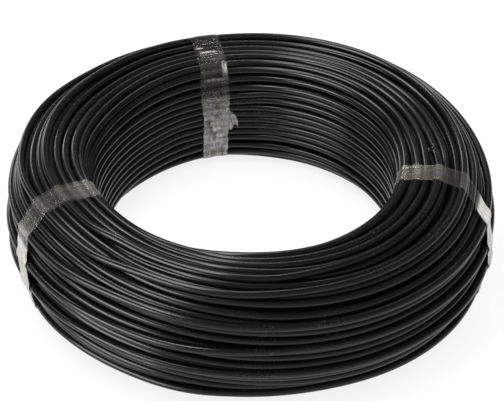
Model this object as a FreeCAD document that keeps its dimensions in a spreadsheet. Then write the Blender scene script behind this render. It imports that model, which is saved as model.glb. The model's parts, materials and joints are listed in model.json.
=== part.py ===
"""A 100 m coil of single-core building wire, tied with three bands of clear film.

The coil lies flat: Z is the coil's axis, the origin is the centre of its footprint, and the
base is at Z = 0. It is one turned solid with its bore. Grooves on its two ends show the turns
that lie there. Each film band is a closed loop round the coil's section, let into the coil by
the film's own thickness, so that nothing stands below the base. Sizes are millimetres and
degrees, and the driving ones are in the spreadsheet called Sizes.
"""
import FreeCAD, Part

import math
import os

import Sketcher
from FreeCAD import Vector

# The driving sizes: the cell's alias, its value and what it measures.
SIZES = (
    ("outer_radius", 108.0, "outside radius of the coil at half its height"),
    ("bore_radius", 67.0, "radius of the cylindrical bore wall"),
    ("coil_height", 59.0, "height of the coil as it lies"),
    ("belly_radius", 60.0, "radius of the bulging outer face, seen in section"),
    ("shoulder_radius", 15.0, "radius between the outer face and each end"),
    ("bore_edge_radius", 10.0, "radius between the bore wall and each end"),
    ("wire_diameter", 3.4, "outside diameter of the wire: the pitch of the turns"),
    ("groove_radius", 0.8, "radius of the groove between two neighbouring turns"),
    ("film_width", 12.0, "width of each film band"),
    ("film_thickness", 0.3, "thickness of each film band"),
    ("film_reach", 60.0, "length of the slab that cuts a band out of the ring"),
    ("back_angle", 103.5, "where the back band stands round the coil, from +X"),
    ("back_skew", -2.0, "how far the back band is turned away from the radius"),
    ("left_angle", -156.0, "where the left band stands round the coil"),
    ("left_skew", 5.0, "how far the left band is turned away from the radius"),
    ("right_angle", -15.0, "where the right band stands round the coil"),
    ("right_skew", -12.0, "how far the right band is turned away from the radius"),
)
SIZE = {alias: value for alias, value, _ in SIZES}
BANDS = ("back", "left", "right")
QUARTER, HALF, FULL = math.pi / 2.0, math.pi, 2.0 * math.pi
START, END, CENTRE = 1, 2, 3
SKETCH_ORIGIN = (-1, 1)


def make_sheet(doc):
    """Put every driving size in the sheet, one aliased cell to a row."""
    sheet = doc.addObject("Spreadsheet::Sheet", "Sizes")
    for row, (alias, value, meaning) in enumerate(SIZES, start=1):
        sheet.set("A%d" % row, meaning)
        sheet.set("B%d" % row, str(value))
        sheet.setAlias("B%d" % row, alias)
    doc.recompute()


def section_sketch(body, name):
    """Add an empty sketch on the body's XZ plane: its X is the radius and its Y the height."""
    sketch = body.newObject("Sketcher::SketchObject", name)
    plane = next(item for item in body.Origin.OriginFeatures if item.Role == "XZ_Plane")
    sketch.AttachmentSupport = [(plane, "")]
    sketch.MapMode = "FlatFace"
    return sketch


def bind(sketch, kind, target, value, expression):
    """Add one dimension to the sketch and let the sheet drive it."""
    index = sketch.addConstraint(Sketcher.Constraint(kind, *target, value))
    sketch.setExpression("Constraints[%d]" % index, expression)


def arc(centre_x, centre_y, radius, start, end):
    """Return an anticlockwise arc in the sketch plane, its angles in radians."""
    circle = Part.Circle(Vector(centre_x, centre_y, 0), Vector(0, 0, 1), radius)
    return Part.ArcOfCircle(circle, start, end)


def line(*ends):
    """Return a straight edge in the sketch plane, from its four coordinates."""
    return Part.LineSegment(Vector(ends[0], ends[1], 0), Vector(ends[2], ends[3], 0))


def shoulder_place():
    """Return the shoulder's centre radius, and the angle at which it meets the belly.

    The shoulder arc touches the coil's end, and it touches the belly arc from the inside.
    """
    rise = SIZE["coil_height"] / 2.0 - SIZE["shoulder_radius"]
    reach = SIZE["belly_radius"] - SIZE["shoulder_radius"]
    belly_centre = SIZE["outer_radius"] - SIZE["belly_radius"]
    return belly_centre + math.sqrt(reach ** 2 - rise ** 2), math.asin(rise / reach)


def draw_section(sketch, inset_alias=None):
    """Draw and constrain the coil's section, moved in by the sheet's inset if one is named.

    Going round anticlockwise from the top of the bore wall: wall, base edge, base, shoulder,
    belly, shoulder, top and top edge, each one's end touching the start of the next.
    """
    inset = SIZE[inset_alias] if inset_alias else 0.0
    less, more = (" %s Sizes.%s" % (sign, inset_alias) if inset_alias else "" for sign in "-+")
    wall, low, high = SIZE["bore_radius"] + inset, inset, SIZE["coil_height"] - inset
    edge, shoulder, belly = (SIZE[name] - inset for name in (
        "bore_edge_radius", "shoulder_radius", "belly_radius"))
    shoulder_x, meet = shoulder_place()
    belly_x, middle = SIZE["outer_radius"] - SIZE["belly_radius"], SIZE["coil_height"] / 2.0

    items = sketch.addGeometry([
        line(wall, high - edge, wall, low + edge),
        arc(wall + edge, low + edge, edge, HALF, HALF + QUARTER),
        line(wall + edge, low, shoulder_x, low),
        arc(shoulder_x, low + shoulder, shoulder, HALF + QUARTER, FULL - meet),
        arc(belly_x, middle, belly, -meet, meet),
        arc(shoulder_x, high - shoulder, shoulder, meet, QUARTER),
        line(shoulder_x, high, wall + edge, high),
        arc(wall + edge, high - edge, edge, QUARTER, HALF),
    ])
    bore, base_edge, base, base_shoulder, outer, top_shoulder, top, top_edge = items
    for first, second in zip(items, (*items[1:], bore)):
        sketch.addConstraint(Sketcher.Constraint("Tangent", first, END, second, START))
    sketch.addConstraint(Sketcher.Constraint("Vertical", bore))
    sketch.addConstraint(Sketcher.Constraint("Horizontal", base))
    sketch.addConstraint(Sketcher.Constraint("Horizontal", top))

    for item in (base_edge, top_edge):
        bind(sketch, "Radius", (item,), edge, "Sizes.bore_edge_radius" + less)
    for item in (base_shoulder, top_shoulder):
        bind(sketch, "Radius", (item,), shoulder, "Sizes.shoulder_radius" + less)
    bind(sketch, "Radius", (outer,), belly, "Sizes.belly_radius" + less)
    bind(sketch, "DistanceX", (*SKETCH_ORIGIN, bore, START), wall, "Sizes.bore_radius" + more)
    bind(sketch, "DistanceX", (*SKETCH_ORIGIN, outer, CENTRE), belly_x,
         "Sizes.outer_radius - Sizes.belly_radius")
    bind(sketch, "DistanceY", (*SKETCH_ORIGIN, outer, CENTRE), middle, "Sizes.coil_height / 2")
    bind(sketch, "DistanceY", (*SKETCH_ORIGIN, top, START), high, "Sizes.coil_height" + less)
    if inset_alias:
        bind(sketch, "DistanceY", (*SKETCH_ORIGIN, base, START), low, "Sizes." + inset_alias)
    else:
        sketch.addConstraint(Sketcher.Constraint("PointOnObject", base, START, -1))


def turned_body(doc, name, inset_alias=None):
    """Turn the coil's section about Z, and return the body that holds the full revolution."""
    body = doc.addObject("PartDesign::Body", name)
    sketch = section_sketch(body, name + "_section")
    draw_section(sketch, inset_alias)
    doc.recompute()
    turned = body.newObject("PartDesign::Revolution", name + "_turned")
    turned.Profile = sketch
    turned.ReferenceAxis = (sketch, ["V_Axis"])
    turned.Angle = 360.0
    body.Tip = turned
    doc.recompute()
    return body


def groove_places():
    """Return where the grooves of the top end lie in the section, a wire's pitch apart.

    The walk goes up the bore's edge arc, over the flat end and down the shoulder arc, and
    the last groove stays at least a pitch away from the belly.
    """
    edge, shoulder = SIZE["bore_edge_radius"], SIZE["shoulder_radius"]
    shoulder_x, meet = shoulder_place()
    edge_x = SIZE["bore_radius"] + edge
    edge_run, flat_run = edge * QUARTER, shoulder_x - edge_x
    whole_run = edge_run + flat_run + shoulder * (QUARTER - meet)
    places = []
    for count in range(1, int(whole_run / SIZE["wire_diameter"])):
        run = count * SIZE["wire_diameter"]
        if run < edge_run:
            angle = HALF - run / edge
            x, drop = edge_x + edge * math.cos(angle), edge * (1.0 - math.sin(angle))
        elif run < edge_run + flat_run:
            x, drop = edge_x + run - edge_run, 0.0
        else:
            angle = QUARTER - (run - edge_run - flat_run) / shoulder
            x, drop = shoulder_x + shoulder * math.cos(angle), shoulder * (1.0 - math.sin(angle))
        places.append((x, drop))
    return places


def cut_end_grooves(doc, body):
    """Cut a round groove between each two neighbouring turns of both ends."""
    sketch = section_sketch(body, "end_grooves_section")
    for x, drop in groove_places():
        for height, expression in ((SIZE["coil_height"] - drop, "Sizes.coil_height - %r" % drop),
                                   (drop, None)):
            circle = Part.Circle(Vector(x, height, 0), Vector(0, 0, 1), SIZE["groove_radius"])
            item = sketch.addGeometry(circle)
            bind(sketch, "Radius", (item,), SIZE["groove_radius"], "Sizes.groove_radius")
            bind(sketch, "DistanceX", (*SKETCH_ORIGIN, item, CENTRE), x,
                 "Sizes.bore_radius + %r" % (x - SIZE["bore_radius"]))
            if expression:
                bind(sketch, "DistanceY", (*SKETCH_ORIGIN, item, CENTRE), height, expression)
            elif drop:
                sketch.addConstraint(Sketcher.Constraint(
                    "DistanceY", *SKETCH_ORIGIN, item, CENTRE, height))
            else:
                sketch.addConstraint(Sketcher.Constraint("PointOnObject", item, CENTRE, -1))
    doc.recompute()
    grooves = body.newObject("PartDesign::Groove", "end_grooves")
    grooves.Profile = sketch
    grooves.ReferenceAxis = (sketch, ["V_Axis"])
    grooves.Angle = 360.0
    body.Tip = grooves
    doc.recompute()


def boolean(doc, kind, name, base, tool):
    """Make a Part cut or common of two objects."""
    result = doc.addObject("Part::" + kind, name)
    result.Base, result.Tool = base, tool
    return result


def band_slab(doc, side):
    """Make the upright slab, as wide as the film, that holds one band's whole loop."""
    slab = doc.addObject("Part::Box", side + "_slab")
    slab.setExpression("Length", "Sizes.film_reach")
    slab.setExpression("Width", "Sizes.film_width")
    slab.setExpression("Height", "Sizes.coil_height")
    place = "Sizes.%s_angle * 1 deg" % side
    turn = "(Sizes.{0}_angle + Sizes.{0}_skew) * 1 deg".format(side)
    middle = "(Sizes.outer_radius + Sizes.bore_radius) / 2"
    slab.setExpression("Placement.Rotation.Axis.z", "1")
    slab.setExpression("Placement.Rotation.Angle", turn)
    slab.setExpression("Placement.Base.x", "%s * cos(%s) - Sizes.film_reach / 2 * cos(%s)"
                       " + Sizes.film_width / 2 * sin(%s)" % (middle, place, turn, turn))
    slab.setExpression("Placement.Base.y", "%s * sin(%s) - Sizes.film_reach / 2 * sin(%s)"
                       " - Sizes.film_width / 2 * cos(%s)" % (middle, place, turn, turn))
    return slab


def make_band(doc, side, form, core):
    """Make one film band: the slab's share of the coil's skin, as thick as the film."""
    block = boolean(doc, "Common", side + "_block", form, band_slab(doc, side))
    band = boolean(doc, "Cut", "film_band_" + side, block, core)
    band.Label = "film_band_" + side
    return band


def make_coil(doc, bands):
    """Make the wire's turned solid, with the bands let into its skin."""
    wound = turned_body(doc, "wound_turns")
    cut_end_grooves(doc, wound)
    ties = doc.addObject("Part::MultiFuse", "all_bands")
    ties.Shapes = bands
    coil = boolean(doc, "Cut", "wire_coil", wound, ties)
    coil.Label = "wire_coil"
    return coil


def check(doc, pieces):
    """Stop if any object failed, or if a piece is not one valid solid."""
    for item in doc.Objects:
        if "Invalid" in item.State or "Error" in item.State:
            raise RuntimeError("%s failed: %s" % (item.Label, item.State))
    for piece in pieces:
        shape = piece.Shape
        if shape.isNull() or not shape.isValid() or len(shape.Solids) != 1:
            raise RuntimeError("%s is not one valid solid" % piece.Label)


def main():
    """Build the document and write each piece to its own STEP file."""
    doc = FreeCAD.newDocument("wire_coil_100m")
    make_sheet(doc)
    form = turned_body(doc, "coil_form")
    core = turned_body(doc, "coil_core", "film_thickness")
    bands = [make_band(doc, side, form, core) for side in BANDS]
    pieces = [make_coil(doc, bands)] + bands
    doc.recompute()
    check(doc, pieces)

    os.makedirs("parts", exist_ok=True)
    for piece in pieces:
        piece.Shape.exportStep("parts/%s.step" % piece.Label)
        box = piece.Shape.optimalBoundingBox()
        print("%s: %.1f mm3, %.2f x %.2f x %.2f mm" % (
            piece.Label, piece.Shape.Volume, box.XLength, box.YLength, box.ZLength))


main()
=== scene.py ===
"""The looks of a coil of black building wire, tied with three bands of clear film.

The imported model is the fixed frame. This script hides its turned stand-in and its plain bands,
and winds the coil from its real turns: a single wire of about 180 turns, laid in shells from
the skin inwards, which are then pushed apart until they share next to no space. The film
bands are stretched round whatever turns lie under them.
"""

import json
import logging
import math
from dataclasses import dataclass
from enum import Enum

import bpy
import numpy as np
from bpy.types import Material, Node, NodeSocket, NodeTree, Object
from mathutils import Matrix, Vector

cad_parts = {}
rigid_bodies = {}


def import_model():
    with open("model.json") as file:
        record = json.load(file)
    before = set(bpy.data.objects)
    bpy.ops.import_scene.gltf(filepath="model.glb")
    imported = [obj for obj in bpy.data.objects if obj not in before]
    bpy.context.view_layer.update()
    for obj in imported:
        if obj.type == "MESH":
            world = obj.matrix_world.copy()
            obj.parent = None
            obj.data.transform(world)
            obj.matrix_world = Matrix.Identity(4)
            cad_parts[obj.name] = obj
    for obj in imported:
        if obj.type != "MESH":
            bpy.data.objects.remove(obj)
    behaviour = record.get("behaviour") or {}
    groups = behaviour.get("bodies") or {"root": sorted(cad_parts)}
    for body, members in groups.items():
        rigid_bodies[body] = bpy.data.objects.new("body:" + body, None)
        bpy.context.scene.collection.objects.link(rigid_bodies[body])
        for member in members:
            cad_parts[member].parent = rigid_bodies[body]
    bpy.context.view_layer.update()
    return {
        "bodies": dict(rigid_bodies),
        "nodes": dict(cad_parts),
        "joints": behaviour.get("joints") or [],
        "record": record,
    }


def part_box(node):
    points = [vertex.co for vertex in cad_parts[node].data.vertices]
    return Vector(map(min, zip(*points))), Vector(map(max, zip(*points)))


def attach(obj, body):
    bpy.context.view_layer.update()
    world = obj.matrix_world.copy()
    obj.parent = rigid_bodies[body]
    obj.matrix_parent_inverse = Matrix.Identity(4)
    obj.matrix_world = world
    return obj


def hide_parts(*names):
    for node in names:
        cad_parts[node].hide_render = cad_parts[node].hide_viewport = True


Array = np.ndarray
LOG = logging.getLogger("wire_coil")
TURN = 2.0 * math.pi
BODY = "root"
MM = 0.001
WHITE = (1.0, 1.0, 1.0, 1.0)


# --- shapes worked out on whole arrays ---


def smooth_noise(rng: np.random.Generator, shape: tuple[int, ...],
                 reach: tuple[float, ...]) -> Array:
    """Make smooth noise on a grid that joins up with itself at its ends.

    Formula: the spectrum of white noise times exp(-(2 * f * reach)^2) along each axis, scaled
    to a mean of 0 and a spread of 1.

    Args:
        rng: the seeded source of the noise.
        shape: the number of samples along each axis.
        reach: about how many samples the noise takes to change along each axis.

    Returns:
        An array of the given shape.
    """
    spectrum = np.fft.rfftn(rng.standard_normal(shape))
    for axis, (count, length) in enumerate(zip(shape, reach)):
        waves = np.fft.rfftfreq(count) if axis == len(shape) - 1 else np.fft.fftfreq(count)
        fall = np.exp(-((2.0 * length * waves) ** 2))
        spectrum *= fall.reshape([-1 if other == axis else 1 for other in range(len(shape))])
    noise = np.fft.irfftn(spectrum, shape)
    return (noise - noise.mean()) / noise.std()


def smooth_step(values: Array) -> Array:
    """Return 3t^2 - 2t^3 of the values, held between 0 and 1."""
    held = np.clip(values, 0.0, 1.0)
    return held * held * (3.0 - 2.0 * held)


def angle_between(angles: Array, other: float | Array) -> Array:
    """Return each angle less the other one, brought into -pi to pi, in radians."""
    return (angles - other + math.pi) % TURN - math.pi


def run_along(points: Array) -> Array:
    """Return the length run so far at each point of a line, in metres."""
    return np.concatenate([[0.0], np.cumsum(np.linalg.norm(np.diff(points, axis=0), axis=1))])


def new_sleeve(name: str, points: Array, along: Array,
               paint: dict[str, Array] | None = None) -> Object:
    """Make a closed sleeve from a grid of points whose rows are loops.

    The loops run so that along x round points outwards. Each end is capped by quads that join
    the two halves of its loop. The UV map holds the length along and the share round.

    Args:
        name: the piece's name.
        points: rows by columns by three, in metres. The number of columns is even.
        along: the length along the sleeve at each row, in metres.
        paint: named values for the vertices, rows by columns each.

    Returns:
        The new smooth-shaded object at the origin, linked to the scene.
    """
    rows, columns = points.shape[:2]
    row, column = (part.ravel() for part in np.indices((rows - 1, columns)))
    pair = np.arange(columns // 2 - 1)
    cap = np.stack([pair, pair + 1, columns - 2 - pair, columns - 1 - pair], -1)
    face_rows = np.concatenate([np.stack([row, row + 1, row + 1, row], -1),
                                np.zeros_like(cap), np.full_like(cap, rows - 1)])
    face_columns = np.concatenate([np.stack([column, column, column + 1, column + 1], -1),
                                   cap, cap[:, ::-1]])
    corners = (face_rows * columns + face_columns % columns).astype(np.int32)
    uvs = np.stack([along[face_rows], face_columns / columns], -1).astype(np.float32)

    mesh = bpy.data.meshes.new(name)
    mesh.vertices.add(rows * columns)
    mesh.vertices.foreach_set("co", points.astype(np.float32).ravel())
    mesh.loops.add(corners.size)
    mesh.loops.foreach_set("vertex_index", corners.ravel())
    mesh.polygons.add(len(corners))
    mesh.polygons.foreach_set("loop_start", np.arange(0, corners.size, 4, dtype=np.int32))
    mesh.polygons.foreach_set("use_smooth", np.ones(len(corners), dtype=bool))
    mesh.uv_layers.new(name="along_and_round").data.foreach_set("uv", uvs.ravel())
    for label, values in (paint or {}).items():
        layer = mesh.attributes.new(label, "FLOAT", "POINT")
        layer.data.foreach_set("value", values.astype(np.float32).ravel())
    mesh.update(calc_edges=True)
    piece = bpy.data.objects.new(name, mesh)
    bpy.context.scene.collection.objects.link(piece)
    return piece


# --- the room that the winding fills ---

# How the ring strays from round. Row n holds n waves a turn: the cosine and the sine of the outer
# radius, then the cosine and the sine of the bore, in millimetres.
SWAY = np.array([[0.00, 0.00, -1.30, 0.00], [0.37, 0.70, -0.92, 0.37],
                 [-0.23, -1.00, -1.07, -0.76], [-0.31, -0.28, 0.47, -0.20],
                 [-1.00, -0.35, 0.00, 0.00]])

# Its dents and bulges, two of the outer radius and then two of the bore's upper edge: the angle
# round the coil and the half width, both in degrees, and how far it stands out, in millimetres.
DENTS = np.array([[138.0, 15.0, -2.0], [-166.0, 15.0, 1.2],
                  [180.0, 26.0, 5.0], [-10.0, 30.0, -1.0]])
OUTER_DENTS = 2


@dataclass(frozen=True)
class CoilForm:
    """The ring that the turns fill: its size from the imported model, its roundness here.

    The section is a rounded box, blunter towards the bore (wall_power) than outwards
    (belly_power). Film lifts it off the floor by lift, and the turns that wander over it may
    stand proud of it by proud.
    """

    outer: float
    bore: float
    height: float
    belly_power: float = 2.6
    wall_power: float = 6.5
    lift: float = 0.3 * MM
    proud: float = 1.1 * MM
    outline_steps: int = 2048

    @classmethod
    def from_frame(cls, frame: dict) -> "CoilForm":
        """Read the outer radius and height from the node's box, and the bore from its mount.

        The form stays inside the box by as much as the wandering turns stand proud of it.
        """
        low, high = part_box("wire_coil")
        bore = next(mount for mount in frame["record"]["mounts"] if mount["name"] == "bore")
        return cls(outer=(high.x - low.x) / 2.0 - cls.proud, bore=bore["dims"]["r_mm"] * MM,
                   height=high.z - low.z - 0.5 * cls.proud)

    @property
    def middle(self) -> float:
        """The radius of the section's centre."""
        return (self.outer + self.bore) / 2.0

    @property
    def half_width(self) -> float:
        """Half the section's width."""
        return (self.outer - self.bore) / 2.0

    @property
    def half_height(self) -> float:
        """Half the section's height, less the film that lies under the coil."""
        return (self.height - self.lift) / 2.0

    @property
    def centre_height(self) -> float:
        """The height of the section's centre above the floor."""
        return self.lift + self.half_height

    def bend(self, angle: Array, across: Array, up: Array) -> Array:
        """Turn a place across the round section into a radius of the coil as it really lies.

        Formula: the outer radius and the bore each sway by waves of none to four a turn, and
        a place between the two sways by its share of both. Dents and bulges of the form
        a * exp(-(t / w)^2), at an angle t from their middles, are added to the outer radius
        and to the bore's upper edge.

        Args:
            angle: the angles round the coil.
            across: how far out from the section's centre, in metres.
            up: how far above it, in metres.

        Returns:
            The distances from the coil's axis, in metres.
        """
        sway = SWAY * MM
        angle = np.asarray(angle)[..., None]
        turns = np.arange(len(sway)) * angle
        outer = (np.cos(turns) * sway[:, 0] + np.sin(turns) * sway[:, 1]).sum(-1)
        bore = (np.cos(turns) * sway[:, 2] + np.sin(turns) * sway[:, 3]).sum(-1)
        off = angle_between(angle, np.radians(DENTS[:, 0]))
        deep = DENTS[:, 2] * MM * np.exp(-((off / np.radians(DENTS[:, 1])) ** 2))
        outer = outer + deep[..., :OUTER_DENTS].sum(-1)
        top = smooth_step((up / self.half_height + 1.0) / 2.0)
        bore = bore + deep[..., OUTER_DENTS:].sum(-1) * top
        out = (across / self.half_width + 1.0) / 2.0
        return self.middle + across + outer * out + bore * (1.0 - out)

    def share(self, places: Array, inset: float) -> Array:
        """Say how far out each place is: 1 on the outline moved in by the inset.

        Formula: |x / a|^p + |z / b|^p, to the power 1 / p, with p larger on the bore's side.
        """
        power = np.where(places[..., 0] > 0.0, self.belly_power, self.wall_power)
        across = np.abs(places[..., 0] / (self.half_width - inset)) ** power
        up = np.abs(places[..., 1] / (self.half_height - inset)) ** power
        return (across + up + 1e-12) ** (1.0 / power)

    def outline(self, inset: float) -> tuple[Array, Array]:
        """Work out the section's outline moved in by the inset, from the underside round.

        Formula: x = a * sign(c) * |c|^(2 / p) and z = b * sign(s) * |s|^(2 / p), where c and s
        are the cosine and sine of a turn that starts straight down and goes by the outer side.

        Returns:
            The length run so far at each point, and the points, the first one repeated last.
        """
        angle = np.linspace(-TURN / 4.0, TURN * 3.0 / 4.0, self.outline_steps)
        cosine, sine = np.cos(angle), np.sin(angle)
        power = np.where(cosine > 0.0, self.belly_power, self.wall_power)
        points = np.stack([
            (self.half_width - inset) * np.sign(cosine) * np.abs(cosine) ** (2.0 / power),
            (self.half_height - inset) * np.sign(sine) * np.abs(sine) ** (2.0 / power)], -1)
        return run_along(points), points


# --- the winding ---


class Place(Enum):
    """The three places where a band ties the coil, by the name of the band's node."""

    BACK = "film_band_back"
    LEFT = "film_band_left"
    RIGHT = "film_band_right"


@dataclass(frozen=True)
class Tie:
    """How one band stands on the coil: its angle round it, its turn off the radius, its tilt."""

    place: Place
    angle: float
    skew: float
    tilt: float

    @classmethod
    def from_frame(cls, place: Place, skew: float, tilt: float = 0.0) -> "Tie":
        """Read the angle from the middle of the node's box; skew and tilt are in degrees."""
        low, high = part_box(place.value)
        return cls(place, math.atan2(low.y + high.y, low.x + high.x), math.radians(skew),
                   math.radians(tilt))


# How the last turns drift over the skin: turns from the wire's outer end, and how far round the
# outline the wire is there, as a share of the whole, from the underside by the outer side.
DRIFT = np.array([(0.00, 0.03), (0.55, 0.06), (0.80, 0.12), (1.50, 0.15), (1.75, 0.20),
                  (2.55, 0.225), (2.78, 0.275), (3.50, 0.30), (3.72, 0.34), (4.50, 0.36),
                  (4.75, 0.42), (5.60, 0.44), (6.00, 0.50)])

# How all turns climb and fall: the angle round the coil in degrees, and how far they are shifted
# round the section there, in millimetres.
CLIMB = np.array([(-180, 5.0), (-150, 8.0), (-125, 5.0), (-90, -2.0), (-60, -3.0), (-30, -1.0),
                  (0, 0.0), (60, 0.0), (120, 2.0), (180, 5.0)])


@dataclass
class Winding:
    """One long wire laid in the form: every turn's place in every slice round the coil.

    Pitches, gaps and wanders are in widths of the wire, and wander_reach is in turns. A band
    pinches the coil by a share of its section, over an angle of about pinch_reach radians.
    """

    form: CoilForm
    ties: tuple[Tie, ...]
    wire: float = 3.4 * MM
    slices: int = 240
    pitch: float = 1.05
    skin_pitch: float = 1.17
    shell_gap: float = 0.93
    over_gap: float = 0.90
    side_wander: float = 0.30
    depth_wander: float = 0.26
    wander_reach: float = 0.42
    pinch: float = 0.028
    pinch_reach: float = 0.16
    near: float = 1.35
    seed: int = 9

    def __post_init__(self) -> None:
        """Lay the shells and let the turns settle."""
        self.rng = np.random.default_rng(self.seed)
        self.angles = np.arange(self.slices) * TURN / self.slices
        self.shells: list[tuple[int, int]] = []
        self.places = self.lay()
        self.settle()

    @property
    def radius(self) -> float:
        """The wire's radius."""
        return self.wire / 2.0

    def lay_over(self) -> Array:
        """Lay the last few turns, which wander over the skin and cross it at small angles.

        The knots of their drift are rounded off over a quarter of a turn.

        Returns:
            The places, as samples by two, from the section's centre in metres.
        """
        turns = int(DRIFT[-1, 0])
        when = np.arange(turns * self.slices) / self.slices
        share = np.interp(when, DRIFT[:, 0], DRIFT[:, 1])
        blur = np.hanning(self.slices // 4)
        share = np.convolve(np.pad(share, len(blur) // 2, "edge"), blur / blur.sum(), "same")
        share = share[len(blur) // 2:][:len(when)]
        run, points = self.form.outline(self.radius - self.over_gap * self.wire)
        where = share * run[-1] + self.twist(len(when))
        return np.stack([np.interp(where % run[-1], run, points[:, axis]) for axis in (0, 1)], -1)

    def twist(self, count: int) -> Array:
        """Say how far the turns are shifted round the section at each sample, in metres.

        The turns climb towards the left band and come down again at the front. The knots are
        rounded off over a sixth of a turn.
        """
        blur = np.hanning(self.slices // 6)
        where = angle_between(self.angles, 0.0)
        once = np.interp(where, np.radians(CLIMB[:, 0]), CLIMB[:, 1] * MM)
        once = np.convolve(np.tile(once, 3), blur / blur.sum(), "same")[self.slices:2 * self.slices]
        return np.resize(once, count)

    def lay(self) -> Array:
        """Lay the whole wire: the wandering turns, then shell after shell inwards.

        Returns:
            The places, as turns by slices by two, from the section's centre in metres.
        """
        path = [self.lay_over()]
        self.shells.append((0, len(path[0]) // self.slices))
        inset = self.radius
        direction = 1.0
        while inset < self.form.half_width - self.radius:
            run, points = self.form.outline(inset)
            pitch = self.skin_pitch if len(self.shells) == 1 else self.pitch
            turns = max(int(run[-1] / (self.wire * pitch)), 2)
            count = turns * self.slices
            step = run[-1] / turns / self.slices
            reach = (self.slices * self.wander_reach,)
            side = smooth_noise(self.rng, (count,), reach) * self.side_wander * self.wire
            depth = smooth_noise(self.rng, (count,), reach) * self.depth_wander * self.wire
            where = 0.5 * run[-1] + direction * np.arange(count) * step + side + self.twist(count)
            where %= run[-1]
            laid = np.stack([np.interp(where, run, points[:, axis]) for axis in (0, 1)], -1)
            laid *= (1.0 - np.abs(depth) / np.linalg.norm(laid, axis=1))[:, None]
            path.append(laid)
            first = self.shells[-1][1]
            self.shells.append((first, first + turns))
            inset += self.shell_gap * self.wire
            direction = -direction
        return np.concatenate(path).reshape(-1, self.slices, 2)

    def squeeze(self) -> Array:
        """Say how much each slice's outline shrinks: most where a band pulls it in."""
        pull = sum(np.exp(-(angle_between(self.angles, tie.angle) / self.pinch_reach) ** 2)
                   for tie in self.ties)
        return 1.0 - self.pinch * pull

    def close_pairs(self) -> tuple[Array, Array]:
        """Find the pairs of turns that are near each other in a slice.

        Returns:
            Two arrays of flat place numbers, one entry a pair.
        """
        near = self.near * self.wire
        x, z = self.places[..., 0].astype(np.float32), self.places[..., 1].astype(np.float32)
        upper = np.triu_indices(len(x), 1)
        gap_x, gap_z = x[upper[0]] - x[upper[1]], z[upper[0]] - z[upper[1]]
        pair, at = np.nonzero(gap_x * gap_x + gap_z * gap_z < near * near)
        return upper[0][pair] * self.slices + at, upper[1][pair] * self.slices + at

    def settle(self, rounds: int = 9, steps: int = 14, push_by: float = 0.42,
               smooth_by: float = 0.2, draw_in: float = 0.999) -> None:
        """Push touching turns apart, keep the wire smooth, and keep all in the form.

        The wandering turns lie in a roomier form and are drawn inwards on to the skin.

        Args:
            rounds: how often the neighbours are looked up again.
            steps: the number of pushes in each round.
            push_by: the share of an overlap by which each of the two turns gives way in a step.
            smooth_by: the share of its bend that the wire loses in a step.
            draw_in: what a wandering turn's distance from the centre is multiplied by in a step.
        """
        flat = self.places.reshape(-1, 2)
        size = len(flat)
        hold = np.tile(self.squeeze(), len(self.places))
        over = self.shells[0][1] * self.slices
        floor = self.radius - self.form.half_height
        for _ in range(rounds):
            first, second = self.close_pairs()
            for _ in range(steps):
                gap = flat[first] - flat[second]
                length = np.linalg.norm(gap, axis=1) + 1e-9
                push = push_by * np.maximum(self.wire - length, 0.0)[:, None]
                push = push * gap / length[:, None]
                for axis in (0, 1):
                    flat[:, axis] += np.bincount(first, push[:, axis], size)
                    flat[:, axis] -= np.bincount(second, push[:, axis], size)
                flat[1:-1] += smooth_by * (flat[:-2] + flat[2:] - 2.0 * flat[1:-1])
                flat[:over] *= draw_in
                out = np.concatenate([
                    self.form.share(flat[:over], self.radius - self.over_gap * self.wire),
                    self.form.share(flat[over:], self.radius)]) / hold
                flat /= np.maximum(out, 1.0)[:, None]
                flat[:, 1] = np.maximum(flat[:, 1], floor)
        self.places = flat.reshape(-1, self.slices, 2)
        gap = flat[first] - flat[second]
        overlap = self.wire - np.linalg.norm(gap, axis=1)
        length = (self.form.middle + self.places[..., 0]).mean() * TURN * len(self.places)
        LOG.info("turns %d, wire %.1f m, worst overlap %.2f mm, pairs over 0.3 mm %.2f %%",
                 len(self.places), length, overlap.max() / MM,
                 100.0 * (overlap > 0.3 * MM).mean())

    def centres(self, first: int, last: int) -> Array:
        """Return the wire's centre line from one turn up to another, in the row frame.

        One sample more than the turns hold is added where the wire goes on.
        """
        flat = self.places.reshape(-1, 2)
        index = np.arange(first * self.slices, min(last * self.slices + 1, len(flat)))
        angle = index * TURN / self.slices
        radius = self.form.bend(angle, flat[index, 0], flat[index, 1])
        height = self.form.centre_height + flat[index, 1]
        return np.stack([radius * np.cos(angle), radius * np.sin(angle), height], -1)


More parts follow.
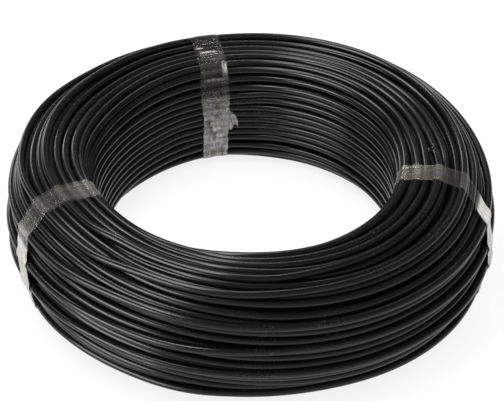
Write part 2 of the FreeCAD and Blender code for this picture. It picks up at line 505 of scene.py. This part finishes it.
@dataclass
class WireTurns:
    """The meshes of the turns: one tube along the wire, in a few pieces."""

    winding: Winding

    def tube(self, name: str, first: int, last: int, sides: int, stride: int) -> Object:
        """Make the tube of some turns.

        Formula: the centre line plus the wire's radius times (cos v * outwards + sin v * up),
        with outwards the direction away from the coil's axis.

        Args:
            name: the piece's name.
            first: the first turn.
            last: the turn after the last one.
            sides: the number of flats round the wire.
            stride: how many slices one step along the wire takes.
        """
        centres = self.winding.centres(first, last)[::stride]
        outward = centres * (1.0, 1.0, 0.0)
        outward /= np.linalg.norm(outward, axis=1)[:, None]
        around = np.arange(sides) * TURN / sides
        ring = (np.cos(around)[None, :, None] * outward[:, None, :]
                + np.sin(around)[None, :, None] * np.array([0.0, 0.0, 1.0]))
        points = centres[:, None, :] + self.winding.radius * ring
        return new_sleeve(name, points, run_along(centres))

    def build(self, finish: Material) -> list[Object]:
        """Make every piece of the wire, finest where it shows, and dress it."""
        shells = self.winding.shells
        skin_first, skin_last = shells[1]
        skin_middle = (skin_first + skin_last) // 2
        pieces = [self.tube("wandering_turns", *shells[0], 16, 1),
                  self.tube("skin_turns_outer", skin_first, skin_middle, 16, 1),
                  self.tube("skin_turns_inner", skin_middle, skin_last, 16, 1),
                  self.tube("second_shell_turns", *shells[2], 10, 2),
                  self.tube("hidden_turns", shells[3][0], shells[-1][1], 6, 4)]
        for piece in pieces:
            piece.data.materials.append(finish)
            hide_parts("wire_coil")
        return pieces


# --- the film bands ---


@dataclass(frozen=True)
class FoldAndGlarePatch:
    """A patch where the film is folded double: its place, its size and how white it is.

    The place is an angle round the section in degrees, and millimetres to the side of the
    band's middle. The size is the patch's reach both ways, in millimetres. A whiter patch is
    partly film folded double and partly painted glare: glints of reflected light drawn as
    whiter film. Less than no white makes a clearer patch.
    """

    angle: float
    aside: float
    long: float
    wide: float
    white: float


# The back band's patches of folds, painted glare and clearer film, in the order of the
# patch's fields.
BACK_FOLDS_AND_GLARE = (
    (97.0, 4.6, 0.45, 2.0, 0.8), (103.5, 0.8, 0.50, 4.4, 0.9), (107.5, 0.0, 0.40, 5.6, 0.40),
    (114.0, -1.0, 0.40, 4.0, 0.35), (125.0, -5.2, 2.0, 1.2, 1.10), (133.0, 0.0, 0.45, 5.6, 0.50),
    (164.0, -0.6, 1.4, 1.5, -0.45), (180.0, -0.8, 1.0, 1.4, -0.45), (192.0, 3.2, 1.8, 0.6, -0.60),
    (201.0, 2.2, 1.7, 0.6, -0.60), (209.0, 0.8, 1.7, 0.6, -0.60), (199.0, -0.7, 0.6, 1.9, 0.40),
    (210.0, -2.6, 0.6, 2.0, 0.22))


@dataclass
class FilmBand:
    """One band: a long strip of stretched film, wrapped round the section a few times.

    Angles round the section are in degrees: 0 outwards, 90 up, 180 at the bore. Width and
    rumple hold a value for each of the outer side, the top, the bore and the underside. They,
    the sideways path, the drift, the ragged edges and the loose tail are in millimetres. Cover
    runs from 0 for clear to 1 for white. The noise's reaches are in rows and columns.
    """

    winding: Winding
    tie: Tie
    width: tuple[float, ...]
    cover: tuple[tuple[float, float], ...]
    rumple: tuple[float, ...]
    folds_and_glare: tuple[FoldAndGlarePatch, ...] = ()
    wraps: float = 2.35
    start: float = 200.0
    drift: float = 0.5
    path: tuple[tuple[float, float], ...] = ((0, 0.0),)
    ragged: float = 0.10
    # Painted shade: how much the film is cleared and darkened over open gaps between turns.
    painted_gap_shade: float = 0.8
    tail: float = 0.0
    cling: float = 0.35
    thickness: float = 0.05 * MM
    layer: float = 0.14 * MM
    clearance: float = 0.12 * MM
    deepest: float = 1.3 * MM
    squash: float = 0.2
    frayed_end: float = 0.004
    tail_from: float = 0.965
    edge_reach: float = 5.0
    gather_reach: tuple[float, float] = (9.0, 0.8)
    crumple_reach: tuple[float, float] = (5.0, 1.6)
    clearest: float = 0.04
    whitest: float = 0.97
    white_edge: float = 0.10
    half_slices: int = 12
    steps: int = 400
    columns: int = 20
    seed: int = 1

    def __post_init__(self) -> None:
        """Work out the stretched film's distance from the section's centre."""
        self.rng = np.random.default_rng(self.seed)
        self.directions = np.arange(self.steps) * TURN / self.steps
        middle = int(round(self.tie.angle / TURN * self.winding.slices))
        self.first = middle - self.half_slices
        self.reaches, self.gaps = self.stretched(2 * self.half_slices + 1)

    def stretched(self, span: int) -> tuple[Array, Array]:
        """Stretch the film over the turns of the slices near the band.

        Formula: a taut film's reach is the least of s(f) / cos(f - d) over all directions f,
        with s the furthest that any turn goes in that direction. Between two turns the film
        sags from there part of the way down to the turns.

        Args:
            span: the number of slices.

        Returns:
            The reach from the section's centre, slices by directions, in metres, and how open
            the gap under the film is there, from 0 on a turn to 1.
        """
        near = (self.first + np.arange(span)) % self.winding.slices
        places = self.winding.places[:, near]
        far, at = np.linalg.norm(places, axis=-1), np.arctan2(places[..., 1], places[..., 0])
        turn = self.directions - at[..., None]
        radius = self.winding.radius
        support = (far[..., None] * np.cos(turn)).max(0) + radius
        aside = far[..., None] * np.sin(turn)
        deep = np.sqrt(np.maximum(radius ** 2 - aside ** 2, 0.0))
        hit = (np.abs(aside) < radius) & (np.cos(turn) > 0.0)
        touched = np.where(hit, far[..., None] * np.cos(turn) + deep, 0.0).max(0)
        lean = np.maximum(np.cos(self.directions[:, None] - self.directions), 0.05)
        taut = (support[:, :, None] / lean).min(1)
        sag = np.minimum(taut - touched, self.deepest)
        blur = np.array([0.25, 0.5, 0.25])
        sag = sum(weight * np.roll(sag, shift, 1) for weight, shift in zip(blur, (-1, 0, 1)))
        return np.maximum(taut - self.cling * sag, touched) + self.clearance, sag / self.deepest

    def by_side(self, values: tuple[float, ...], angle: Array) -> Array:
        """Blend one value for each side smoothly round the section."""
        form = self.winding.form
        facing = np.arctan2(np.sin(angle) / form.half_height, np.cos(angle) / form.half_width)
        quarter = (facing / TURN * 4.0) % 4.0
        known = np.array(values)
        low = quarter.astype(int) % 4
        mix = smooth_step((quarter - np.floor(quarter) - 0.2) / 0.6)
        return known[low] * (1.0 - mix) + known[(low + 1) % 4] * mix

    def round_coil(self, angle: Array, aside: Array) -> Array:
        """Return the angle round the coil of places at an angle round the section."""
        middle = self.reaches[len(self.reaches) // 2]
        reach = middle[np.floor(angle / TURN * self.steps).astype(int) % self.steps]
        across = reach * np.cos(angle)
        slant = across * math.tan(self.tie.skew) + reach * np.sin(angle) * math.tan(self.tie.tilt)
        return self.tie.angle + (aside + slant) / (self.winding.form.middle + across)

    def sample(self, grid: Array, angle: Array, turned: Array) -> Array:
        """Read a grid of slices by directions between its samples, in both directions."""
        at = angle / TURN * self.steps
        low, share = np.floor(at).astype(int), at - np.floor(at)
        slot = np.clip(turned / TURN * self.winding.slices - self.first, 0.0, len(grid) - 1.001)
        near, part = slot.astype(int), slot - np.floor(slot)
        return sum(((1.0 - part) if row == 0 else part) * ((1.0 - share) if column == 0 else share)
                   * grid[near + row, (low + column) % self.steps]
                   for row in (0, 1) for column in (0, 1))

    def lie(self, angle: Array, aside: Array, lift: Array) -> Array:
        """Put places of the strip on the coil. On the floor its layers are squashed together.

        Args:
            angle: the angles round the section.
            aside: how far to the side of the band's middle line, in metres.
            lift: how far above the stretched film, in metres.

        Returns:
            Points in the row frame.
        """
        form = self.winding.form
        turned = self.round_coil(angle, aside)
        far = self.sample(self.reaches, angle, turned) + lift
        up = far * np.sin(angle)
        radius = form.bend(turned, far * np.cos(angle), up)
        height = np.maximum(form.centre_height + up, self.squash * lift + 0.02 * MM)
        return np.stack([radius * np.cos(turned), radius * np.sin(turned), height], -1)

    def milkiness_and_painted_light(self, angle: Array, aside: Array, gathers: Array,
                  crumples: Array) -> Array:
        """Say how much all wraps of the film cover together at each place of the strip.

        Formula: the cover's knots joined, less where a gap between turns lies open beneath (painted
        shade: the film there is clearer and darker, so that the gaps show as dark lines), more
        along the two edges, and plus or minus each patch's white * exp(-u^4 - v^4), some of it
        painted glare.

        Args:
            angle: the angles round the section.
            aside: how far to the side, in metres.
            gathers: noise that is long along the strip.
            crumples: rounder noise.

        Returns:
            Values from the clearest to the whitest.
        """
        knots = np.array(self.cover)
        cover = np.interp(np.degrees(angle), knots[:, 0], knots[:, 1], period=360.0)
        cover = cover * (1.0 + 0.12 * gathers + 0.06 * crumples)
        open_gap = self.sample(self.gaps, angle, self.round_coil(angle, aside))
        # Painted shade: clearer, darker film over open gaps between turns draws the gaps as dark
        # lines.
        cover = cover * (1.15 - self.painted_gap_shade * smooth_step(open_gap) * (1.0 - cover))
        border = np.abs(2.0 * np.linspace(0.0, 1.0, self.columns) - 1.0)
        cover = cover + self.white_edge * smooth_step((border - 0.8) / 0.2)
        middle = self.winding.form.half_width
        # Whiter patches are partly folds and partly painted glare of reflected light; clearer ones
        # lower the cover.
        for patch in self.folds_and_glare:
            off = angle_between(angle, math.radians(patch.angle)) * middle / (patch.long * MM)
            out = (aside / MM - patch.aside) / patch.wide
            cover = cover + patch.white * np.exp(-(off ** 4) - out ** 4) * (0.7 + 0.3 * gathers)
        return np.clip(cover, self.clearest, self.whitest)

    def build(self, finish: Material) -> Object:
        """Make the strip as one thin sleeve, paint how much it covers, and dress it.

        Formula: along the strip the angle round the section grows by a turn for each wrap, and
        each wrap lies one layer further out; across it the place runs from one ragged edge to
        the other on the film's outer face, and back on its inner face. Its middle follows slow
        noise, the path's knots joined and rounded off, and the tail where the strip ends.
        Noise that is long along the strip and narrow across it gathers the film into creases.
        """
        rows, across = int(self.steps * self.wraps), self.columns
        share = np.linspace(0.0, 1.0, across)[None, :]
        ragged = smooth_noise(self.rng, (rows, across), (3.0, 3.0)) * self.frayed_end
        end = np.linspace(0.0, 1.0, rows)[:, None]
        wrap = self.wraps * (end + ragged * np.abs(2.0 * end - 1.0) ** 8)
        angle = math.radians(self.start) + TURN * wrap
        half = 0.5 * self.by_side(self.width, angle) * MM
        edges = [smooth_noise(self.rng, (rows,), (self.edge_reach,))[:, None] * self.ragged * MM
                 for _ in (0, 1)]
        shift = smooth_noise(self.rng, (rows,), (self.steps * 0.3,))[:, None] * self.drift * MM
        shift = shift + self.tail * MM * smooth_step((end - self.tail_from) / 0.03)
        knots, blur = np.array(self.path), np.hanning(self.steps // 10 + 1)
        path = np.interp(np.degrees(angle[:, across // 2]), knots[:, 0], knots[:, 1], period=360.0)
        path = np.convolve(np.pad(path, len(blur) // 2, "edge"), blur / blur.sum(), "valid")
        shift = shift + path[:, None] * MM
        aside = shift + (half + edges[0]) * (1.0 - share) - (half + edges[1]) * share
        gathers = smooth_noise(self.rng, (rows, across), self.gather_reach)
        crumples = smooth_noise(self.rng, (rows, across), self.crumple_reach)
        rough = self.by_side(self.rumple, angle) * MM
        lift = wrap * self.layer + rough * (0.35 * gathers + 0.65 * crumples + 0.6)
        # The cover is the film's milkiness together with painted shade over gaps and painted glare.
        cover = self.milkiness_and_painted_light(angle, aside, gathers, crumples)
        sheer = 1.0 - (1.0 - cover) ** (1.0 / (2.0 * self.wraps))

        faces = [self.lie(angle, aside, lift + self.thickness), self.lie(angle, aside, lift)]
        points = np.concatenate([faces[0], faces[1][:, ::-1]], 1)
        paint = {"cover": np.concatenate([cover, cover[:, ::-1]], 1),
                 "sheer": np.concatenate([sheer, sheer[:, ::-1]], 1)}
        along = run_along(points[:, across // 2])
        piece = new_sleeve(self.tie.place.value + "_strip", points, along, paint)
        piece.data.materials.append(finish)
        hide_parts(self.tie.place.value)
        return piece


def film_bands(winding: Winding) -> list[FilmBand]:
    """Describe the three bands: width, roughness, cover, course, folds and painted glare."""
    back, left, right = winding.ties
    return [
        FilmBand(
            winding, back,
            width=(11.0, 11.5, 12.0, 11.0),
            rumple=(0.15, 0.01, 0.20, 0.0),
            cover=((0, 0.45), (60, 0.25), (80, 0.12), (118, 0.10), (145, 0.14), (155, 0.45),
                   (180, 0.58), (210, 0.64), (235, 0.70), (270, 0.50)),
            folds_and_glare=tuple(FoldAndGlarePatch(*row) for row in BACK_FOLDS_AND_GLARE),
            wraps=2.75, start=287.0, drift=0.6, ragged=0.18, tail=-5.0, seed=4),
        FilmBand(
            winding, left,
            width=(10.0, 11.0, 10.0, 10.0),
            rumple=(0.12, 0.01, 0.20, 0.0),
            cover=((0, 0.97), (31, 0.97), (35, 0.62), (50, 0.46), (62, 0.24), (92, 0.20),
                   (104, 0.38), (132, 0.42), (150, 0.50), (270, 0.50), (330, 0.97)),
            path=((0, 2.2), (25, 0.9), (50, 1.0), (90, 1.7), (250, 0.0), (300, -3.0),
                  (320, -2.0), (336, 3.4), (347, 3.8)),
            start=250.0, seed=8),
        FilmBand(
            winding, right,
            width=(7.2, 11.0, 10.0, 10.0),
            rumple=(0.12, 0.02, 0.20, 0.0),
            cover=((0, 0.96), (55, 0.94), (61, 0.14), (82, 0.12), (93, 0.26), (104, 0.36),
                   (125, 0.38), (150, 0.40), (270, 0.50), (330, 0.96)),
            path=((15, -10.4), (45, -11.2), (57, -8.5), (67, -5.7), (90, -5.5), (250, -5.5),
                  (300, -3.5), (338, -3.2)),
            start=230.0, seed=15),
    ]


# --- finishes ---

LINE_DEPTH = 0.04 * MM


class Nodes:
    """A short hand for adding nodes to a tree and joining them."""

    def __init__(self, tree: NodeTree) -> None:
        """Start on an empty tree."""
        self.tree = tree
        tree.nodes.clear()

    def add(self, kind: str, inputs: dict[str | int, object] | None = None,
            **settings: object) -> Node:
        """Add one node.

        Args:
            kind: the node's type, less its leading ShaderNode.
            inputs: what each named or numbered input holds: a value, or a socket to join.
            settings: the node's own settings.

        Returns:
            The new node.
        """
        node = self.tree.nodes.new("ShaderNode" + kind)
        for key, value in settings.items():
            setattr(node, key, value)
        for key, value in (inputs or {}).items():
            if isinstance(value, NodeSocket):
                self.tree.links.new(value, node.inputs[key])
            else:
                node.inputs[key].default_value = value
        return node

    def math(self, operation: str, *values: object) -> NodeSocket:
        """Add a Math node of some values or sockets, and return its result."""
        return self.add("Math", dict(enumerate(values)), operation=operation).outputs[0]

    def ramp(self, value: NodeSocket, low: float, high: float, start: float = 0.0,
             end: float = 1.0) -> NodeSocket:
        """Map a value smoothly from low and high to start and end, held between them."""
        inputs = {"Value": value, "From Min": low, "From Max": high, "To Min": start, "To Max": end}
        return self.add("MapRange", inputs, interpolation_type="SMOOTHSTEP").outputs["Result"]

    def group(self, group: NodeTree, place: NodeSocket, scales: tuple[float, float]) -> NodeSocket:
        """Place an effect's group, give it its place and its two scales, and return its mask."""
        node = self.add("Group", dict(enumerate((place, *scales))), node_tree=group)
        return node.outputs["Mask"]

    def mix(self, factor: NodeSocket, first: tuple[float, ...],
            second: tuple[float, ...]) -> NodeSocket:
        """Mix two colours."""
        inputs = {"Factor": factor, "A": (*first, 1.0), "B": (*second, 1.0)}
        return self.add("Mix", inputs, data_type="RGBA").outputs["Result"]

    def background_rays(self, *others: str) -> NodeSocket:
        """Return 1 for the camera's rays, rays through film, and any others of Light Path."""
        path = self.add("LightPath").outputs
        seen = path["Is Camera Ray"]
        for kind in ("Is Transmission Ray", *others):
            seen = self.math("MAXIMUM", seen, path[kind])
        return seen


def new_material(name: str) -> tuple[Material, Nodes]:
    """Make an empty material, and return it with its nodes."""
    material = bpy.data.materials.new(name)
    material.use_nodes = True
    return material, Nodes(material.node_tree)


class Effects:
    """The surface effects that both finishes use, each a node group that puts out a mask."""

    def __init__(self) -> None:
        """Build both groups."""
        self.drawn_lines = self.make_drawn_lines()
        self.specks = self.make_specks()

    @staticmethod
    def start(name: str, numbers: tuple[str, ...]) -> tuple[Nodes, Node, Node]:
        """Open a group that takes a place and some numbers, and gives a mask."""
        tree = bpy.data.node_groups.new(name, "ShaderNodeTree")
        tree.interface.new_socket(name="Place", in_out="INPUT", socket_type="NodeSocketVector")
        for number in numbers:
            tree.interface.new_socket(name=number, in_out="INPUT", socket_type="NodeSocketFloat")
        tree.interface.new_socket(name="Mask", in_out="OUTPUT", socket_type="NodeSocketFloat")
        nodes = Nodes(tree)
        return nodes, tree.nodes.new("NodeGroupInput"), tree.nodes.new("NodeGroupOutput")

    def make_drawn_lines(self) -> NodeTree:
        """Make fine lines along a sleeve, as drawing through a die or stretching leaves them.

        Formula: noise at (u * Along, cos(v) * Round, sin(v) * Round), with u the length along
        in metres and v a whole turn round, so that the lines close up where v does.
        """
        nodes, given, out = self.start("drawn_lines", ("Along", "Round"))
        place = nodes.add("SeparateXYZ", {0: given.outputs["Place"]})
        turn = nodes.math("MULTIPLY", place.outputs["Y"], TURN)
        parts = {"X": nodes.math("MULTIPLY", place.outputs["X"], given.outputs["Along"])}
        for axis, wave in (("Y", "COSINE"), ("Z", "SINE")):
            parts[axis] = nodes.math("MULTIPLY", nodes.math(wave, turn), given.outputs["Round"])
        where = nodes.add("CombineXYZ", parts).outputs[0]
        inputs = {"Vector": where, "Scale": 1.0, "Detail": 3.0, "Roughness": 0.6}
        noise = nodes.add("TexNoise", inputs)
        nodes.tree.links.new(noise.outputs["Fac"], out.inputs["Mask"])
        return nodes.tree

    def make_specks(self) -> NodeTree:
        """Make dust that lies in drifts: fine specks where a coarse noise is high."""
        nodes, given, out = self.start("dust_specks", ("Fine", "Coarse"))
        masks = []
        for size, low, high in (("Fine", 0.54, 0.68), ("Coarse", 0.45, 0.70)):
            noise = nodes.add("TexNoise", {"Vector": given.outputs["Place"], "Detail": 2.0,
                                           "Scale": given.outputs[size]})
            masks.append(nodes.ramp(noise.outputs["Fac"], low, high))
        nodes.tree.links.new(nodes.math("MULTIPLY", *masks), out.inputs["Mask"])
        return nodes.tree


@dataclass(frozen=True)
class InsulationFinish:
    """Satin black PVC: fine lines along the wire, a little dust, and a soft gloss.

    The roughness varies between smooth and dull. Scales are for the effects' two inputs.
    """

    colour: tuple[float, float, float] = (0.0060, 0.0059, 0.0062)
    dusty: tuple[float, float, float] = (0.030, 0.029, 0.027)
    smooth: float = 0.14
    dull: float = 0.24
    gloss: float = 0.30
    relief: float = 0.12
    line_scale: tuple[float, float] = (30.0, 6.0)
    wave_scale: tuple[float, float] = (8.0, 0.6)
    dust_scale: tuple[float, float] = (1100.0, 45.0)

    def make(self, effects: Effects) -> Material:
        """Make the material."""
        material, nodes = new_material("black_insulation")
        along = nodes.add("UVMap", uv_map="along_and_round").outputs["UV"]
        place = nodes.add("TexCoord").outputs["Object"]
        lines = nodes.group(effects.drawn_lines, along, self.line_scale)
        waves = nodes.group(effects.drawn_lines, along, self.wave_scale)
        dust = nodes.group(effects.specks, place, self.dust_scale)
        colour = nodes.mix(dust, self.colour, self.dusty)
        sheen = nodes.math("MULTIPLY_ADD", lines, 0.4, nodes.math("MULTIPLY", waves, 0.6))
        bump = nodes.add("Bump", {"Height": lines, "Strength": self.relief, "Distance": LINE_DEPTH})
        shader = nodes.add("BsdfPrincipled", {
            "Base Color": colour,
            "Roughness": nodes.ramp(sheen, 0.35, 0.65, self.smooth, self.dull),
            "Specular IOR Level": self.gloss, "Normal": bump.outputs["Normal"]})
        nodes.add("OutputMaterial", {"Surface": shader.outputs[0]})
        return material


@dataclass(frozen=True)
class FilmFinish:
    """Clear packing film: sheer where it is single, milky where it is gathered.

    A glare lies over it as a coat, and fades where the film is milky. The cover that it reads
    also holds painted shade over the gaps between turns and patches of painted glare.
    """

    sheer: tuple[float, float, float] = (0.44, 0.42, 0.37)
    milky: tuple[float, float, float] = (0.93, 0.91, 0.86)
    roughness: float = 0.36
    glare: float = 0.15
    glare_index: float = 2.2
    relief: float = 0.3
    line_scale: tuple[float, float] = (160.0, 14.0)

    def make(self, effects: Effects) -> Material:
        """Make the material, which reads how much the strip covers at each place."""
        material, nodes = new_material("clear_film")
        along = nodes.add("UVMap", uv_map="along_and_round").outputs["UV"]
        cover = nodes.add("Attribute", attribute_name="cover").outputs["Fac"]
        sheer = nodes.add("Attribute", attribute_name="sheer").outputs["Fac"]
        lines = nodes.group(effects.drawn_lines, along, self.line_scale)
        colour = nodes.mix(nodes.ramp(cover, 0.35, 0.92), self.sheer, self.milky)
        streaks = nodes.ramp(lines, 0.3, 0.7, 0.65, 1.35)
        bump = nodes.add("Bump", {"Height": lines, "Strength": self.relief, "Distance": LINE_DEPTH})
        shader = nodes.add("BsdfPrincipled", {
            "Base Color": colour, "Roughness": self.roughness,
            "Normal": bump.outputs["Normal"], "Coat Weight": nodes.ramp(cover, 0.3, 0.8, 1.0, 0.1),
            "Coat Roughness": self.glare, "Coat IOR": self.glare_index,
            "Alpha": nodes.math("MULTIPLY", sheer, streaks)})
        nodes.add("OutputMaterial", {"Surface": shader.outputs[0]})
        return material


# --- the studio ---


@dataclass(frozen=True)
class Card:
    """A soft white card far off, seen only in reflections.

    It stands towards a direction, reaches so far to each side and up and down as a share of
    the distance, and is so strong in its middle.
    """

    towards: tuple[float, float, float]
    wide: float
    high: float
    strength: float


@dataclass
class Studio:
    """The plain studio: the white surroundings, the floor, the lamp and the camera.

    Reflections see a room that is dim all round, with the cards in it; matt surfaces are lit
    by one that is plain. The camera stands at a number of half widths of the coil (distance),
    and looks down at an angle in degrees (rise).
    """

    cards: tuple[Card, ...] = (
        Card((-0.84, -0.54, 0.20), 0.38, 0.45, 10.0),
        Card((-0.28, 0.58, 0.80), 0.38, 0.12, 8.0),
        Card((-0.50, 0.80, 0.33), 0.08, 0.25, 5.0),
        Card((0.0, 1.0, 0.12), 1.10, 0.25, 0.15),
        Card((0.0, -1.0, 0.20), 1.20, 0.60, 0.35))
    dim: float = 0.12
    plain: float = 0.85
    floor_size: float = 6.0
    floor_glow: float = 0.82
    floor_grey: float = 0.25
    floor_bounce: float = 0.8
    lamp_power: float = 3.8
    lamp_size: tuple[float, float] = (0.75, 0.16)
    lamp_place: tuple[float, float, float] = (-0.22, 0.04, 0.92)
    rise: float = 37.14
    distance: float = 6.537
    lens: float = 112.6
    shift: tuple[float, float] = (0.0041, -0.0025)

    def reflected(self, nodes: Nodes) -> NodeSocket:
        """Add up what a reflection sees in each direction: a dim room and the cards."""
        towards = nodes.add("TexCoord").outputs["Generated"]
        total = None
        for card in self.cards:
            middle = Vector(card.towards).normalized()
            aside = Vector((0.0, 0.0, 1.0)).cross(middle).normalized()
            up = middle.cross(aside)
            dots = [nodes.add("VectorMath", {0: towards, 1: axis}, operation="DOT_PRODUCT")
                    for axis in (aside / card.wide, up / card.high, middle)]
            parts = [dot.outputs["Value"] for dot in dots]
            off = nodes.add("CombineXYZ", {"X": parts[0], "Y": parts[1]}).outputs[0]
            off = nodes.add("VectorMath", {0: off}, operation="LENGTH").outputs["Value"]
            glow = nodes.math("MULTIPLY", nodes.ramp(off, 1.25, 0.75, 0.0, card.strength),
                              nodes.ramp(parts[2], 0.0, 0.2))
            total = glow if total is None else nodes.math("ADD", total, glow)
        return nodes.math("ADD", total, self.dim)

    def build_world(self) -> None:
        """Make the surroundings: white to the camera and through film, cards to a gloss."""
        world = bpy.data.worlds.new("studio")
        bpy.context.scene.world = world
        world.use_nodes = True
        nodes = Nodes(world.node_tree)
        white, plain, gloss = (
            nodes.add("Background", {"Color": WHITE, "Strength": strength}).outputs[0]
            for strength in (1.0, self.plain, self.reflected(nodes)))
        glossy = nodes.add("LightPath").outputs["Is Glossy Ray"]
        lit = nodes.add("MixShader", {0: glossy, 1: plain, 2: gloss})
        both = nodes.add("MixShader", {0: nodes.background_rays(), 1: lit.outputs[0], 2: white})
        nodes.add("OutputWorld", {"Surface": both.outputs[0]})

    def build_floor(self) -> None:
        """Make the pale floor, which shows white but keeps a trace of the coil's shadow."""
        bpy.ops.mesh.primitive_plane_add(size=self.floor_size, location=(0.0, 0.0, 0.0))
        floor = bpy.context.object
        floor.name = "floor"
        material, nodes = new_material("pale_floor")
        shadowed, plain = (nodes.add("BsdfDiffuse", {"Color": (grey, grey, grey, 1.0)}).outputs[0]
                           for grey in (self.floor_grey, self.floor_bounce))
        white = nodes.add("Emission", {"Color": WHITE, "Strength": self.floor_glow})
        shown = nodes.add("AddShader", {0: shadowed, 1: white.outputs[0]}).outputs[0]
        seen = nodes.background_rays("Is Glossy Ray")
        both = nodes.add("MixShader", {0: seen, 1: plain, 2: shown})
        nodes.add("OutputMaterial", {"Surface": both.outputs[0]})
        floor.data.materials.append(material)

    def build_lamp(self) -> None:
        """Hang one soft lamp high over the coil, a little to the left."""
        light = bpy.data.lights.new("key", "AREA")
        light.energy = self.lamp_power
        light.shape = "RECTANGLE"
        light.size, light.size_y = self.lamp_size
        key = bpy.data.objects.new("key", light)
        key.location = self.lamp_place
        aim = Vector((0, 0, 0.03)) - key.location
        key.rotation_euler = aim.to_track_quat("-Z", "Y").to_euler()
        bpy.context.scene.collection.objects.link(key)

    def build_camera(self) -> None:
        """Set the camera far off, with a long lens, aimed at the middle of the coil's height."""
        data = bpy.data.cameras.new("camera")
        camera = bpy.data.objects.new("camera", data)
        bpy.context.scene.collection.objects.link(camera)
        bpy.context.scene.camera = camera
        rise = math.radians(self.rise)
        back = Vector((0.0, -math.cos(rise), math.sin(rise)))
        low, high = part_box("wire_coil")
        distance = self.distance * (high.x - low.x) / 2.0
        camera.location = Vector((0.0, 0.0, (low.z + high.z) / 2.0)) + back * distance
        camera.rotation_euler = (-back).to_track_quat("-Z", "Y").to_euler()
        data.sensor_width = 36.0
        data.lens = self.lens
        data.shift_x, data.shift_y = self.shift

    def build(self) -> None:
        """Build the whole studio."""
        self.build_world()
        self.build_floor()
        self.build_lamp()
        self.build_camera()
        bpy.context.scene.view_settings.view_transform = "Standard"


# --- main ---


def main() -> None:
    """Build the coil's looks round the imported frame."""
    logging.basicConfig(level=logging.INFO, format="%(name)s: %(message)s")
    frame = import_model()
    form = CoilForm.from_frame(frame)
    ties = (Tie.from_frame(Place.BACK, -2.0), Tie.from_frame(Place.LEFT, 9.0),
            Tie.from_frame(Place.RIGHT, -8.0, 10.0))
    winding = Winding(form, ties)
    effects = Effects()
    pieces = WireTurns(winding).build(InsulationFinish().make(effects))
    film = FilmFinish().make(effects)
    pieces += [band.build(film) for band in film_bands(winding)]
    for piece in pieces:
        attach(piece, BODY)
        LOG.info("%s: %d triangles", piece.name, 2 * len(piece.data.polygons))
    Studio().build()


if __name__ == "__main__":
    main()
